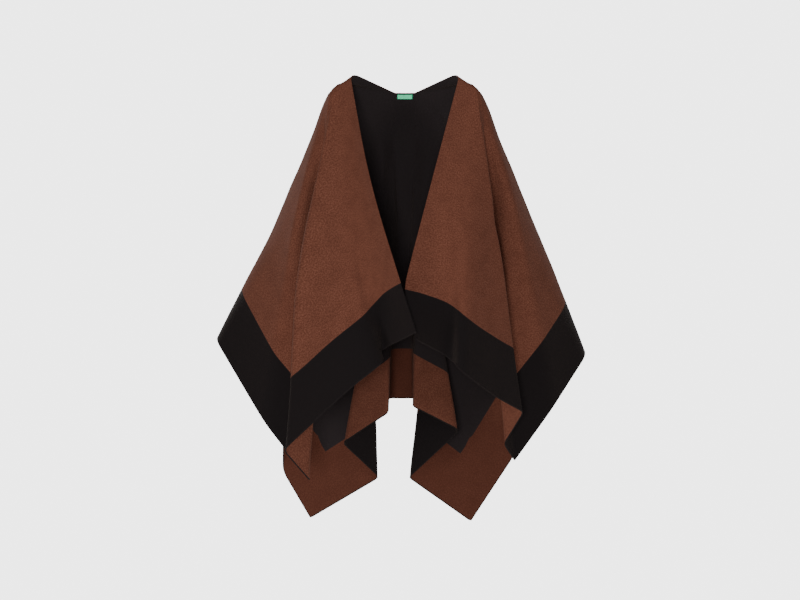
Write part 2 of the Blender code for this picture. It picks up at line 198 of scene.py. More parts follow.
# Each fold ends at a place on one edge of the cut, and that place hangs at x, y, z.  Round is its
# radius at the hem, and soft is how soon it sharpens on the way down.  Top is where it starts on
# the shoulder lines.  Bend is how far down it bends, and side and out are how far it moves there.
#    name             edge        at       x       y       z  round  soft    top  bend   side    out
RIGHT_FOLDS = (
    ("slit_corner",   "front",  0.000,  0.024, -0.205, -0.588, 0.000, 1.50,  0.00, 0.45, -0.020, -0.035),
    ("centre_valley", "front",  0.135, -0.061, -0.115, -0.632, 0.024, 0.80,  0.20, 0.45,  0.000, -0.030),
    ("centre_ridge",  "front",  0.220, -0.040, -0.190, -0.649, 0.020, 0.80,  0.35, 0.45,  0.000, -0.020),
    ("front_middle",  "front",  0.370, -0.144, -0.185, -0.730, 0.080, 1.50,  0.60, 0.45,  0.000, -0.015),
    ("front_ridge",   "front",  0.545, -0.275, -0.110, -0.856, 0.012, 6.00,  0.85, 0.20, -0.020, -0.008),
    ("front_valley",  "front",  0.635, -0.217, -0.070, -0.928, 0.010, 6.00,  1.00, 0.45,  0.000,  0.016),
    ("front_corner",  "side",   0.800, -0.222, -0.048, -0.926, 0.000, 4.00,  1.12, 0.45,  0.000,  0.018),
    ("side_front",    "side",    0.620, -0.322, -0.020, -0.802, 0.030, 7.00,  1.45, 0.35, -0.018, -0.055),
    ("outer_point",   "side",   0.365, -0.455,  0.120, -0.607, 0.030, 1.50,  2.00, 0.50,  0.010,  0.010),
    ("arm_ridge",     "side",   0.130, -0.395,  0.285, -0.572, 0.045, 1.50,  1.75, 0.45,  0.000,  0.010),
    ("arm_valley",    "side",  -0.070, -0.335,  0.165, -0.625, 0.040, 1.50,  1.50, 0.45,  0.000,  0.000),
    ("side_ridge",    "side",  -0.265, -0.335,  0.315, -0.700, 0.045, 1.50,  1.25, 0.45,  0.000,  0.010),
    ("side_valley",   "side",  -0.445, -0.295,  0.195, -0.810, 0.040, 1.50,  1.05, 0.45,  0.000,  0.000),
    ("corner_ridge",  "side",  -0.620, -0.300,  0.250, -0.939, 0.020, 1.50,  0.90, 0.45,  0.022,  0.010),
    ("back_corner",   "side",  -0.740, -0.232,  0.235, -1.052, 0.000, 1.50,  0.75, 0.45,  0.000,  0.010),
    ("back_ridge",    "back",   0.455, -0.062,  0.170, -0.946, 0.012, 1.50,  0.27, 0.45,  0.000,  0.000),
    ("back_valley",   "back",   0.325, -0.147,  0.100, -0.857, 0.012, 1.50,  0.10, 0.45,  0.000,  0.000),
    ("inner_ridge",   "back",   0.170, -0.037,  0.055, -0.780, 0.012, 1.50,  0.00, 0.45,  0.000,  0.000),
    ("centre_fold",   "back",   0.035, -0.038,  0.185, -0.755, 0.012, 1.50, -0.20, 0.45,  0.000,  0.000),
)
LEFT_FOLDS = (
    ("slit_corner",   "front",  0.000,  0.026, -0.190, -0.605, 0.000, 1.50,  0.00, 0.88, -0.052,  0.000),
    ("centre_valley", "front",  0.120,  0.101, -0.125, -0.647, 0.020, 1.50,  0.20, 0.45,  0.000, -0.020),
    ("centre_ridge",  "front",  0.215,  0.121, -0.195, -0.672, 0.020, 1.50,  0.35, 0.45,  0.000, -0.010),
    ("front_middle",  "front",  0.350,  0.195, -0.120, -0.730, 0.060, 1.50,  0.60, 0.45,  0.000, -0.010),
    ("front_ridge",   "front",  0.480,  0.273, -0.035, -0.775, 0.012, 7.00,  0.85, 0.35,  0.000, -0.018),
    ("front_valley",  "front",  0.585,  0.229,  0.000, -0.851, 0.012, 7.00,  1.00, 0.35, -0.010,  0.016),
    ("front_corner",  "side",   0.800,  0.257,  0.040, -0.893, 0.000, 4.00,  1.12, 0.35, -0.006,  0.018),
    ("side_front",    "side",    0.620,  0.350,  0.065, -0.769, 0.030, 7.00,  1.45, 0.35,  0.012, -0.055),
    ("outer_point",   "side",   0.440,  0.444,  0.180, -0.645, 0.035, 1.50,  2.00, 0.50,  0.012,  0.010),
    ("arm_ridge",     "side",   0.200,  0.385,  0.325, -0.580, 0.045, 1.50,  1.75, 0.45,  0.000,  0.010),
    ("arm_valley",    "side",  -0.005,  0.325,  0.190, -0.620, 0.040, 1.50,  1.50, 0.45,  0.000,  0.000),
    ("side_ridge",    "side",  -0.205,  0.325,  0.325, -0.685, 0.045, 1.50,  1.25, 0.45,  0.000,  0.010),
    ("side_valley",   "side",  -0.385,  0.275,  0.205, -0.790, 0.040, 1.50,  1.05, 0.45,  0.000,  0.000),
    ("corner_ridge",  "side",  -0.560,  0.272,  0.265, -0.898, 0.020, 1.50,  0.90, 0.45, -0.022,  0.010),
    ("back_corner",   "side",  -0.740,  0.162,  0.235, -1.060, 0.000, 1.50,  0.75, 0.45,  0.000,  0.010),
    ("back_ridge",    "back",   0.465,  0.010,  0.165, -0.946, 0.012, 1.50,  0.27, 0.45,  0.000,  0.000),
    ("back_valley",   "back",   0.300,  0.130,  0.105, -0.827, 0.012, 1.50,  0.10, 0.45,  0.000,  0.000),
    ("inner_ridge",   "back",   0.170,  0.018,  0.060, -0.767, 0.012, 1.50,  0.00, 0.45,  0.000,  0.000),
    ("centre_fold",   "back",   0.035,  0.022,  0.185, -0.755, 0.012, 1.50, -0.20, 0.45,  0.000,  0.000),
)
BACK_CENTRE = ("back_centre", "back", 0.0, -0.008, 0.190, -0.756, 0.020, 1.5, -1.0, 0.45, 0.0, 0.0)


def edge_place(edge, at):
    """Distance round the cut edge from the slit's corner."""
    if edge == "front":
        return at
    if edge == "side":
        return HALF_WIDTH + FRONT_DROP - at
    return HALF_EDGE - at


def fold_rows():
    rows = [(edge_place(*fold[1:3]), *fold[3:]) for fold in RIGHT_FOLDS + (BACK_CENTRE,)]
    rows += [(2.0 * HALF_EDGE - edge_place(*fold[1:3]), *fold[3:]) for fold in reversed(LEFT_FOLDS)]
    return np.array(rows)


ROWS = fold_rows()
KNOT = ROWS[:, 0]
HANG = ROWS[:, [1, 2, 3, 7, 8, 9]]      # x, y, z, then where and how far the fold bends aside
ROUND = ROWS[:, 4]
SOFT = ROWS[:, 5]
TOP = ROWS[:, 6]
LOOSE_ROUND = 0.045      # the soft folds by the slit hang rounder than in the solids
FALLEN_BACK = -0.022     # and the cloth behind each outer ridge comes forward less than there


def fold_numbers(name):
    """Rows of the fold of this name, on the right half and on the left."""
    right = [fold[0] for fold in RIGHT_FOLDS].index(name)
    left = [fold[0] for fold in LEFT_FOLDS].index(name)
    return [right, len(KNOT) - 1 - left]


ROUND[fold_numbers("centre_valley") + fold_numbers("centre_ridge")] = LOOSE_ROUND
HANG[fold_numbers("side_front"), 5] = FALLEN_BACK
RIGHT_OUTER, LEFT_OUTER = KNOT[fold_numbers("outer_point")]
print("folds", len(ROWS), "round an edge of", round(2.0 * HALF_EDGE, 2), "m")

# %% [markdown]
# ## From tables to a surface
#
# A fold is a soft ridge, never a knife edge.  Each table is read as a line through its points
# with its corners rounded by parabolas.  The rounding is wide near the shoulder, where the cloth
# is smooth, and narrow at the hem, where the folds are deep and the corners of the cut are sharp.

# %% Rounded corners and shoulder lines
LEAST_RADIUS = 1e-6      # keeps a sharp corner from dividing by nothing


def soft_ramp(x, radius):
    """Zero before the corner, x after it, and a parabola over the rounded stretch."""
    radius = np.maximum(radius, LEAST_RADIUS)
    return np.where(np.abs(x) < radius, (x + radius) ** 2 / (4.0 * radius), np.maximum(x, 0.0))


def on_line(line, top, sign):
    """Places (u, v, x, y, z) on a shoulder line, mirrored where sign is negative."""
    table = np.array(line)
    place = np.stack([np.interp(top, table[:, 0], table[:, k]) for k in range(1, 6)], axis=-1)
    place[:, [0, 2]] *= sign[:, None]
    return place


print("the shoulder ridge starts at", on_line(RIDGE_LINE, np.zeros(1), np.ones(1))[0, 2:])

# %% The rounded hem
CORNERS = np.array([0.0, HALF_WIDTH, HALF_EDGE - HALF_WIDTH, HALF_EDGE + HALF_WIDTH,
                    2.0 * HALF_EDGE - HALF_WIDTH, 2.0 * HALF_EDGE])
CORNER_CUTS = np.array([(0.0, FRONT_DROP), (-HALF_WIDTH, FRONT_DROP), (-HALF_WIDTH, -BACK_DROP),
                        (HALF_WIDTH, -BACK_DROP), (HALF_WIDTH, FRONT_DROP), (0.0, FRONT_DROP)])


def hang_at(s, t):
    """The rounded hem table at s, for points t down their folds."""
    spread = TOP_SPREAD * (1.0 - t)[:, None] ** SOFT[None, 1:-1]
    room = np.minimum(KNOT, 2.0 * HALF_EDGE - KNOT)[1:-1]
    radii = np.minimum(ROUND[None, 1:-1] + spread, room[None, :])
    slopes = np.diff(HANG, axis=0) / np.diff(KNOT)[:, None]
    ramps = soft_ramp(s[:, None] - KNOT[None, 1:-1], radii)
    return HANG[0] + slopes[0] * (s[:, None] - KNOT[0]) + ramps @ np.diff(slopes, axis=0)


print("the slit's corner hangs at", hang_at(np.zeros(1), np.ones(1))[0, :3])

# %% The hanging surface


def fold_points(s, t):
    """Start, crest, middle and end of each fold, and their distances down the cloth."""
    sign = np.where(s < HALF_EDGE, -1.0, 1.0)
    top = np.interp(s, KNOT, TOP)
    hang = hang_at(s, t)
    cut = np.stack([np.interp(s, CORNERS, CORNER_CUTS[:, k]) for k in range(2)], axis=-1)
    front = ((s <= RIGHT_OUTER) | (s >= LEFT_OUTER))[:, None]
    start = on_line(RIDGE_LINE, top, sign)
    crest = np.where(front, on_line(FRONT_CREST, top, sign), on_line(BACK_CREST, top, sign))
    end = np.hstack((cut, hang[:, :3]))
    middle = crest + hang[:, 3:4] * (end - crest)
    middle[:, 2:4] += hang[:, 4:6]
    first = np.linalg.norm(crest[:, :2] - start[:, :2], axis=1)
    rest = np.linalg.norm(end[:, :2] - crest[:, :2], axis=1)
    knots = np.stack((0.0 * first, first, first + hang[:, 3] * rest, first + rest), axis=1)
    return np.stack((start, crest, middle, end), axis=1), knots


def cloth_places(s, t):
    """The cloth's middle surface: (u, v, x, y, z) for places s round the edge, t down the fold."""
    points, knots = fold_points(s, t)
    slopes = np.diff(points, axis=1) / np.diff(knots, axis=1)[:, :, None]
    turns = np.diff(slopes, axis=1)
    way = t * knots[:, 3]
    steps = np.diff(knots, axis=1)
    bend_round = np.minimum(DROP_ROUND * (steps[:, 1] + steps[:, 2]), steps[:, 1:].min(axis=1))
    radii = np.stack((np.minimum(CREST_ROUND, steps[:, 0]), bend_round), axis=1)
    ramps = soft_ramp(way[:, None] - knots[:, 1:3], radii)
    return points[:, 0] + slopes[:, 0] * way[:, None] + np.einsum("nk,nkd->nd", ramps, turns)


def crest_share(s):
    """How far down the fold the crest lies."""
    knots = fold_points(s, np.zeros(len(s)))[1]
    return knots[:, 1] / knots[:, 3]


print("lowest point of the middle surface", cloth_places(KNOT, np.ones(len(KNOT)))[:, 4].min())

# %% [markdown]
# ## The sheet
#
# The cloth is one sheet, so the mesh is one sheet too.  Its columns follow the folds.  The front
# and the back columns are paired so that both start at the same points of the shoulder ridge,
# where they are joined.  Rows are packed close along the edges for the finished rim.

# %% Columns and rows
PAIRS = 140              # columns on each side of a shoulder ridge
NECK_COLUMNS = 12        # columns from the slit's end to the middle of the back
EDGE_STEPS = (0.0018, 0.0045, 0.010)     # close rows inside every free edge, metres
OVER_ROWS = 12           # rows over the shoulder
DROP_ROWS = 58           # rows from the crest to the hem, before the close ones are put in
ROW_PACKING = 1.15       # above 1, rows lie closer near the crest
TYPICAL_DROP = 0.75      # metres from crest to hem, which turns the edge steps into shares
ROW_GAP = 0.006          # share of the drop kept free above the close rows
SAMPLES = 2001           # steps in which a place on the edge is looked up
SAME_PLACE = 1e-9        # metres within which two places on the edge are one


def paired_tops():
    """Starts on the ridge, as `top` values, spread so that front and back columns are even."""
    front_s = np.linspace(0.0, RIGHT_OUTER, SAMPLES)
    back_s = np.linspace(HALF_EDGE, RIGHT_OUTER, 2 * SAMPLES - 1)
    back_s = back_s[np.interp(back_s, KNOT, TOP) >= 0.0]
    fine = np.linspace(0.0, OUTER_TOP, SAMPLES)
    front_at = np.interp(fine, np.interp(front_s, KNOT, TOP), front_s)
    back_at = np.interp(fine, np.interp(back_s, KNOT, TOP), back_s)
    travel = (front_at - front_at[0]) + (back_at[0] - back_at)
    even = np.interp(np.linspace(0.0, travel[-1], PAIRS), travel, fine)
    by_slit = np.interp(EDGE_STEPS, KNOT, TOP)
    return np.sort(np.concatenate((even, by_slit)))


def side_columns(tops, knots, levels, outer):
    """Front columns from slit to outer fold, then back columns to the middle of the back."""
    front = knots <= outer + SAME_PLACE
    back = (knots >= outer - SAME_PLACE) & (knots <= HALF_EDGE + SAME_PLACE)
    front_s = np.interp(tops, levels[front], knots[front])
    back_s = np.interp(tops, levels[back][::-1], knots[back][::-1])
    neck_s = np.linspace(back_s[0], HALF_EDGE, NECK_COLUMNS + 1)[1:]
    return np.concatenate((front_s, back_s[-2::-1], neck_s))


def all_columns():
    """Every column's place round the edge, and for each the column it is joined to on the ridge."""
    tops = paired_tops()
    right = side_columns(tops, KNOT, TOP, RIGHT_OUTER)
    left = side_columns(tops, 2.0 * HALF_EDGE - KNOT[::-1], TOP[::-1], 2.0 * HALF_EDGE - LEFT_OUTER)
    places = np.concatenate((right, 2.0 * HALF_EDGE - left[-2::-1]))
    joined = np.arange(len(places))
    count = len(tops)
    for number in range(count - 1):
        back = 2 * (count - 1) - number
        joined[back] = number
        joined[len(places) - 1 - back] = len(places) - 1 - number
    return places, joined


def all_rows():
    """Shares of the way over the shoulder, then shares of the drop from crest to hem."""
    over = np.linspace(0.0, 1.0, OVER_ROWS + 1)[:-1]
    drop = np.linspace(0.0, 1.0, DROP_ROWS) ** ROW_PACKING
    hem = 1.0 - np.array(EDGE_STEPS[::-1]) / TYPICAL_DROP
    drop = np.concatenate((drop[drop < hem[0] - ROW_GAP], hem, [1.0]))
    return over, drop


COLUMNS, JOINED = all_columns()
OVER, DROP = all_rows()
print("columns", len(COLUMNS), "rows", len(OVER) + len(DROP))

# %% The grid in space


def middle_grid():
    """Every grid point as (u, v, x, y, z)."""
    crest = crest_share(COLUMNS)
    rows = [cloth_places(COLUMNS, crest * share) for share in OVER]
    rows += [cloth_places(COLUMNS, crest + (1.0 - crest) * share) for share in DROP]
    return np.array(rows)


GRID = middle_grid()
GRID_LOW = GRID[..., 2:].min(axis=(0, 1))
GRID_HIGH = GRID[..., 2:].max(axis=(0, 1))
print("grid from", GRID_LOW.round(3), "to", GRID_HIGH.round(3))

# %% [markdown]
# ## Small life in the cloth
#
# Real knit never hangs in perfect rulings.  Long shallow waves run down it, a few soft creases
# stay from folding, and the free edges wander a little.  These are real moves of the surface, so
# that they also show in silhouette.  The waves are at most four millimetres high and the small
# creases at most seven.  The last three rows are larger: one rolls the right outer ridge outward,
# and two deepen the pockets beside the outer ridges.

# %% Waves and creases
WAVES = (
    # across and down the cloth, waves a metre, and height in metres
    (7.0, 1.8, 0.0030),
    (16.0, 4.5, 0.0011),
)
CREASES = (
    # from u, v to u, v on the cut cloth, half width and height in metres
    (0.024, 0.006, 0.074, -0.048, 0.006, 0.0060),
    (0.036, 0.010, 0.088, -0.040, 0.009, -0.0045),
    (-0.035, -0.070, -0.105, -0.250, 0.013, -0.0065),
    (-0.026, -0.100, -0.010, -0.420, 0.011, 0.0055),
    (0.022, -0.120, 0.024, -0.400, 0.011, 0.0050),
    (0.250, 0.250, 0.225, 0.560, 0.026, -0.0045),
    (-0.150, 0.420, -0.190, 0.760, 0.020, -0.0035),
    (-0.120, 0.290, -0.575, 0.805, 0.022, 0.0120),
    (-0.150, 0.262, -0.540, 0.645, 0.020, -0.0260),
    (0.150, 0.259, 0.520, 0.662, 0.018, -0.0200),
)
SEED_SHIFT = 11.7        # place in the noise that gives this cape its own waves
CALM_WIDE = 0.6          # the calm patch round the neck reaches further across than down
CALM_NEAR = 0.05         # metres from the slit's end where the waves begin
CALM_FADE = 0.25         # and metres over which they grow to full height


def smooth_rise(x):
    """Zero up to 0, one from 1 on, and a soft step between."""
    x = np.clip(x, 0.0, 1.0)
    return x * x * (3.0 - 2.0 * x)


def wave_height(u, v):
    """Height of the long shallow waves."""
    height = 0.0
    for across, down, size in WAVES:
        height += size * noise.noise(Vector((u * across + SEED_SHIFT, v * down, across)))
    return height


def crease_height(u, v):
    """Soft straight creases, strongest in the middle of their length."""
    height = np.zeros(u.shape)
    for u0, v0, u1, v1, half, size in CREASES:
        length = math.hypot(u1 - u0, v1 - v0)
        along = ((u - u0) * (u1 - u0) + (v - v0) * (v1 - v0)) / length ** 2
        away = np.abs((u - u0) * (v1 - v0) - (v - v0) * (u1 - u0)) / length
        ends = smooth_rise(2.0 * along) * smooth_rise(2.0 * (1.0 - along))
        height += size * ends * np.exp(-(away / half) ** 2)
    return height


def surface_height(grid):
    """Waves, which fade out round the neck, and creases, which don't."""
    u, v = grid[..., 0], grid[..., 1]
    waves = np.vectorize(wave_height)(u, v)
    away = smooth_rise((np.hypot(u * CALM_WIDE, v) - CALM_NEAR) / CALM_FADE)
    return waves * away + crease_height(u, v)


HEIGHT = surface_height(GRID).reshape(-1, 1)
print("largest move of the surface", round(float(np.abs(HEIGHT).max()) * 1000, 1), "mm")

# %% Cells of the grid and their normals
LEAST_LENGTH = 1e-12     # keeps a cell with no size from dividing by nothing


def grid_faces(rows, columns):
    """Corner numbers of every cell, with the ridge row joined front to back."""
    number = np.arange(rows * columns).reshape(rows, columns)
    number[0] = JOINED
    a, b = number[:-1, :-1], number[:-1, 1:]
    c, d = number[1:, 1:], number[1:, :-1]
    return np.stack((a, b, c, d), axis=-1).reshape(-1, 4)


def point_normals(points, faces):
    """Outward direction at every point, averaged over the cells round it."""
    diagonal_a = points[faces[:, 2]] - points[faces[:, 0]]
    diagonal_b = points[faces[:, 3]] - points[faces[:, 1]]
    face_normals = np.cross(diagonal_a, diagonal_b)
    normals = np.zeros(points.shape)
    for corner in range(4):
        np.add.at(normals, faces[:, corner], face_normals)
    length = np.linalg.norm(normals, axis=1, keepdims=True)
    return normals / np.maximum(length, LEAST_LENGTH)


ROWS_HIGH, COLUMNS_WIDE = GRID.shape[:2]
FACES = grid_faces(ROWS_HIGH, COLUMNS_WIDE)
PLACES = GRID.reshape(-1, 5)
NORMALS = point_normals(PLACES[:, 2:], FACES)
MIDDLE = PLACES[:, 2:] + NORMALS * HEIGHT
NORMALS = point_normals(MIDDLE, FACES)
print("cells", len(FACES))

# %% [markdown]
# ## Two faces and a rim
#
# The knit has two faces and a thickness, so the sheet gets an outer wall, an inner wall and a rim.
# The rim bulges a little and takes the outer face's finish, so the black yarn closes every hem
# and shows as a fine line round the brown inner band.  The UV map keeps each point's place on the
# flat cut in metres, so every pattern below follows the cloth wherever it hangs.

# %% Free edges


def free_edges(faces):
    """Directed edges that belong to one cell only."""
    starts = faces.reshape(-1)
    ends = np.roll(faces, -1, axis=1).reshape(-1)
    pairs = {(int(a), int(b)) for a, b in zip(starts, ends)}
    return sorted((a, b) for a, b in pairs if (b, a) not in pairs and a != b)


def rim_directions(edges):
    """Outward in the plane of the cloth at every rim point."""
    outward = {}
    for a, b in edges:
        along = MIDDLE[b] - MIDDLE[a]
        side = np.cross(along, NORMALS[a] + NORMALS[b])
        side /= max(np.linalg.norm(side), LEAST_LENGTH)
        for point in (a, b):
            outward[point] = outward.get(point, 0.0) + side
    return {point: way / np.linalg.norm(way) for point, way in outward.items()}


EDGES = free_edges(FACES)
print("edges round the cloth and its slit", len(EDGES))

# %% Walls and rim
RIM_OUT = 0.0008         # how far the rim bulges past the walls
RIM_SWELL = 1.25         # the finished edge is a little thicker than the field


def wall_points(used, outward):
    """Points of the outer wall, the inner wall and the rim, and the place of each on the cut."""
    half = np.full((len(MIDDLE), 1), WALL / 2.0)
    half[list(outward)] *= RIM_SWELL
    outer = MIDDLE + NORMALS * half
    inner = MIDDLE - NORMALS * half
    rim_points = sorted(outward)
    rim = np.array([MIDDLE[p] + outward[p] * RIM_OUT for p in rim_points])
    points = np.concatenate((outer[used], inner[used], rim))
    cut = np.concatenate((PLACES[used, :2], PLACES[used, :2], PLACES[rim_points, :2]))
    return points, cut


def wall_faces(used, outward):
    """Corners of every face, and 0 where it takes the outer finish or 1 the inner one."""
    count = len(used)
    new_number = np.full(len(MIDDLE), -1)
    new_number[used] = np.arange(count)
    rim_number = {point: 2 * count + k for k, point in enumerate(sorted(outward))}
    outer_faces = [tuple(face) for face in new_number[FACES].tolist()]
    inner_faces = [tuple(count + k for k in reversed(face)) for face in outer_faces]
    rim_outer = []
    rim_inner = []
    for a, b in EDGES:
        p, q = int(new_number[a]), int(new_number[b])
        rim_p, rim_q = rim_number[a], rim_number[b]
        rim_outer.append((q, p, rim_p, rim_q))
        rim_inner.append((rim_q, rim_p, count + p, count + q))
    faces = outer_faces + inner_faces + rim_outer + rim_inner
    faces = [tuple(dict.fromkeys(face)) for face in faces]
    finish = [0] * len(outer_faces) + [1] * len(inner_faces) + [0] * (2 * len(EDGES))
    kept = [k for k, face in enumerate(faces) if len(face) > 2]
    return [faces[k] for k in kept], [finish[k] for k in kept]


def build_cloth():
    outward = rim_directions(EDGES)
    used = np.unique(FACES)
    points, cut = wall_points(used, outward)
    faces, finish = wall_faces(used, outward)
    mesh = bpy.data.meshes.new("cape_cloth")
    mesh.from_pydata([tuple(p) for p in points], [], faces)
    mesh.polygons.foreach_set("material_index", np.array(finish, dtype=np.int32))
    corner = np.zeros(len(mesh.loops), dtype=np.int32)
    mesh.loops.foreach_get("vertex_index", corner)
    layer = mesh.uv_layers.new(name="cut")
    layer.data.foreach_set("uv", cut[corner].astype(np.float32).reshape(-1))
    mesh.shade_smooth()
    mesh.validate()
    cloth = bpy.data.objects.new("cape_cloth", mesh)
    bpy.context.scene.collection.objects.link(cloth)
    return cloth


CLOTH = build_cloth()
print("cape_cloth", len(CLOTH.data.polygons), "faces")

# %% [markdown]
# ## Knit finishes
#
# Both faces are knitted, but they look different.  The brown yarn is brushed and flecked, so its
# stitches nearly vanish under short fuzz.  The black yarn is smooth and fine.  One node group
# makes the stitch heights and the flecks for both, from the flat cut's own metres.

# %% Node helpers


def link_value(tree, node, socket, value):
    if isinstance(value, bpy.types.NodeSocket):
        tree.links.new(value, node.inputs[socket])
    else:
        node.inputs[socket].default_value = value


def math_node(tree, operation, a, b=0.0):
    node = tree.nodes.new("ShaderNodeMath")
    node.operation = operation
    link_value(tree, node, 0, a)
    link_value(tree, node, 1, b)
    return node.outputs[0]


def map_range(tree, value, low, high, new_low=0.0, new_high=1.0):
    node = tree.nodes.new("ShaderNodeMapRange")
    node.interpolation_type = "SMOOTHSTEP"
    link_value(tree, node, "Value", value)
    node.inputs["From Min"].default_value = low
    node.inputs["From Max"].default_value = high
    node.inputs["To Min"].default_value = new_low
    node.inputs["To Max"].default_value = new_high
    return node.outputs["Result"]


def noise_value(tree, vector, scale, detail=2.0, roughness=0.5):
    node = tree.nodes.new("ShaderNodeTexNoise")
    tree.links.new(vector, node.inputs["Vector"])
    node.inputs["Scale"].default_value = scale
    node.inputs["Detail"].default_value = detail
    node.inputs["Roughness"].default_value = roughness
    return node.outputs["Fac"]


def mix_colour(tree, share, colour_a, colour_b):
    node = tree.nodes.new("ShaderNodeMix")
    node.data_type = "RGBA"
    link_value(tree, node, "Factor", share)
    for socket, colour in (("A", colour_a), ("B", colour_b)):
        target = [s for s in node.inputs if s.name == socket and s.type == "RGBA"][0]
        if isinstance(colour, bpy.types.NodeSocket):
            tree.links.new(colour, target)
        else:
            target.default_value = (*colour, 1.0)
    return [s for s in node.outputs if s.type == "RGBA"][0]


def new_group(name, inputs, outputs):
    group = bpy.data.node_groups.new(name, "ShaderNodeTree")
    for label, kind, value in inputs:
        socket = group.interface.new_socket(name=label, in_out="INPUT", socket_type=kind)
        if value is not None:
            socket.default_value = value
    for label, kind in outputs:
        group.interface.new_socket(name=label, in_out="OUTPUT", socket_type=kind)
    return group, group.nodes.new("NodeGroupInput").outputs, group.nodes.new("NodeGroupOutput").inputs


# %% Band mask group
EDGE_LINE = 0.0022       # width of the closed edge that shows on both faces
EDGE_FULL = 0.6          # share of that width that is closed all over
BAND_SOFT = 0.0012       # metres over which the two yarns change places
BAND_WANDER = 0.0012     # and metres by which that line wanders
WANDER_SCALE = 420.0


def make_band_group():
    """Band is 1 on the border along the hems and sides, Edge is 1 on its last millimetre or two."""
    group, given, result = new_group(
        "band_mask", (("Cut", "NodeSocketVector", None),),
        (("Band", "NodeSocketFloat"), ("Edge", "NodeSocketFloat")))
    parts = group.nodes.new("ShaderNodeSeparateXYZ")
    group.links.new(given["Cut"], parts.inputs[0])
    wander = math_node(group, "MULTIPLY", noise_value(group, given["Cut"], WANDER_SCALE), BAND_WANDER)
    to_side = math_node(group, "SUBTRACT", HALF_WIDTH, math_node(group, "ABSOLUTE", parts.outputs[0]))
    to_front = math_node(group, "SUBTRACT", FRONT_DROP, parts.outputs[1])
    to_back = math_node(group, "ADD", BACK_DROP, parts.outputs[1])
    nearest = math_node(group, "MINIMUM", to_side, math_node(group, "MINIMUM", to_front, to_back))
    distance = math_node(group, "ADD", nearest, wander)
    group.links.new(map_range(group, distance, BAND + BAND_SOFT, BAND), result["Band"])
    group.links.new(map_range(group, nearest, EDGE_LINE, EDGE_LINE * EDGE_FULL), result["Edge"])
    return group


BAND_GROUP = make_band_group()
print("node group", BAND_GROUP.name)

# %% Knit group
STITCH = 0.0019          # width and height of one stitch, metres
COURSE_RISE = 1.25       # loops for each stitch height
LEG_LEAN = 1.6           # how steeply a loop's two legs lean
LOOP_EDGE = (0.5, 0.05)       # from the gap between loops to the top of the yarn
OUTER_LEG = (0.5, 0.38)       # and the same across a leg, at the stitch's side
INNER_LEG = (0.0, 0.12)       # and at its middle
FUZZ_NOISE = (900.0, 4.0, 0.65)      # scale, detail and roughness of each noise
FLECK_NOISE = (330.0, 3.0, 0.6)
CLOUD_NOISE = (26.0, 3.0, 0.55)
FLECK_RANGE = (0.38, 0.66)


def make_knit_group():
    """Stitch height, fuzz height and flecks of a fine knit, from the flat cut in metres."""
    group, given, result = new_group(
        "fine_knit",
        (("Cut", "NodeSocketVector", None), ("Stitch", "NodeSocketFloat", STITCH)),
        (("Stitch Height", "NodeSocketFloat"), ("Fuzz", "NodeSocketFloat"),
         ("Fleck", "NodeSocketFloat"), ("Cloud", "NodeSocketFloat")))
    parts = group.nodes.new("ShaderNodeSeparateXYZ")
    group.links.new(given["Cut"], parts.inputs[0])
    wale = math_node(group, "DIVIDE", parts.outputs[0], given["Stitch"])
    course = math_node(group, "DIVIDE", parts.outputs[1], given["Stitch"])
    across = math_node(group, "ABSOLUTE", math_node(
        group, "SUBTRACT", math_node(group, "FRACT", wale), 0.5))
    leaning = math_node(group, "ADD", math_node(group, "MULTIPLY", course, COURSE_RISE),
                        math_node(group, "MULTIPLY", across, LEG_LEAN))
    loop = math_node(group, "ABSOLUTE", math_node(
        group, "SUBTRACT", math_node(group, "FRACT", leaning), 0.5))
    round_loop = map_range(group, loop, *LOOP_EDGE)
    leg = math_node(group, "MULTIPLY", map_range(group, across, *OUTER_LEG),
                    map_range(group, across, *INNER_LEG))
    group.links.new(math_node(group, "MULTIPLY", round_loop, leg), result["Stitch Height"])
    group.links.new(noise_value(group, given["Cut"], *FUZZ_NOISE), result["Fuzz"])
    fleck = map_range(group, noise_value(group, given["Cut"], *FLECK_NOISE), *FLECK_RANGE)
    group.links.new(fleck, result["Fleck"])
    group.links.new(noise_value(group, given["Cut"], *CLOUD_NOISE), result["Cloud"])
    return group


KNIT_GROUP = make_knit_group()
print("node group", KNIT_GROUP.name)

# %% [markdown]
# ## The two faces
#
# The outer face is brown with a black band and the inner face is black with a brown band.  Each
# finish is worked out in full, and the band mask then chooses between them.  The brown is darker
# inside the back corners and the centre pleat, in place of the deep shade of the photograph.  This
# painted shade also falls on the inner band beside the slit.

# %% Yarn colours and finish
BROWN_DEEP = (0.048, 0.0145, 0.0090)
BROWN_MAIN = (0.114, 0.0390, 0.0245)
BROWN_PALE = (0.200, 0.0800, 0.0510)
# painted shade: the black knit is darker in the gaps between its loops
BLACK_GAP_PAINTED_SHADE = (0.0090, 0.0070, 0.0072)
BLACK_MAIN = (0.0140, 0.0108, 0.0112)
# black yarn closing each edge; on the outer face a little lighter than the black beside it, a painted
# highlight
RIM_BLACK_AND_HIGHLIGHT = (0.0120, 0.0095, 0.0095)
BLACK_OUTSIDE_SHARE = 0.80       # level of the black yarn's colour on the outer face
BLACK_INSIDE_PAINTED_LIGHT = 1.75       # painted light: the same yarn is lighter on the inner face
